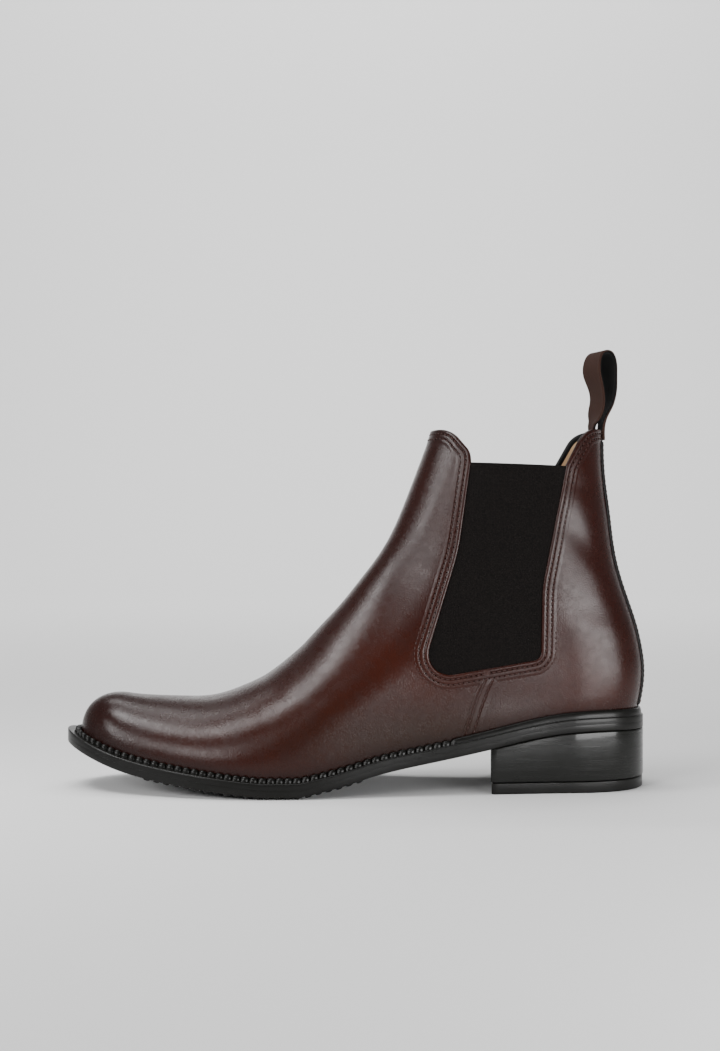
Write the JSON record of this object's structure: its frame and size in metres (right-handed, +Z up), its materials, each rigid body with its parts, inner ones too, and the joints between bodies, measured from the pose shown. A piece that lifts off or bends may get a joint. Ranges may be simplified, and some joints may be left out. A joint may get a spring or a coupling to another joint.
{
  "type": "paddock boot",
  "caption": "Pull-on leather ankle boot with elastic side gores, webbing pull loop, storm welt, toe spring and low block heel.",
  "frame": {"origin": "on the floor under the middle of the boot's box, between the heel's rear and the toe's tip", "axes": "+X runs from the toe to the heel, the toe points along -X; -Y is the boot's outer side and +Y its inner side; +Z is up"},
  "size_m": [0.286, 0.0968, 0.215],
  "materials": {
    "upper_leather": "burnished brown leather, semi-gloss",
    "dark_leather": "near-black smooth leather",
    "gore_elastic": "black ribbed elastic",
    "webbing": "brown woven tape",
    "insole_lining": "cream lining, matt",
    "sole_rubber": "black rubber, satin",
    "heel_stack": "black polished heel, glossy"
  },
  "bodies": {
    "root": {"upper": "upper_leather", "gore_outer": "gore_elastic", "gore_inner": "gore_elastic", "backstay": "dark_leather", "pull_loop": "webbing", "insole": "insole_lining", "welt": "sole_rubber", "outsole": "sole_rubber", "heel_block": "heel_stack", "top_lift": "sole_rubber"}
  },
  "joints": []
}
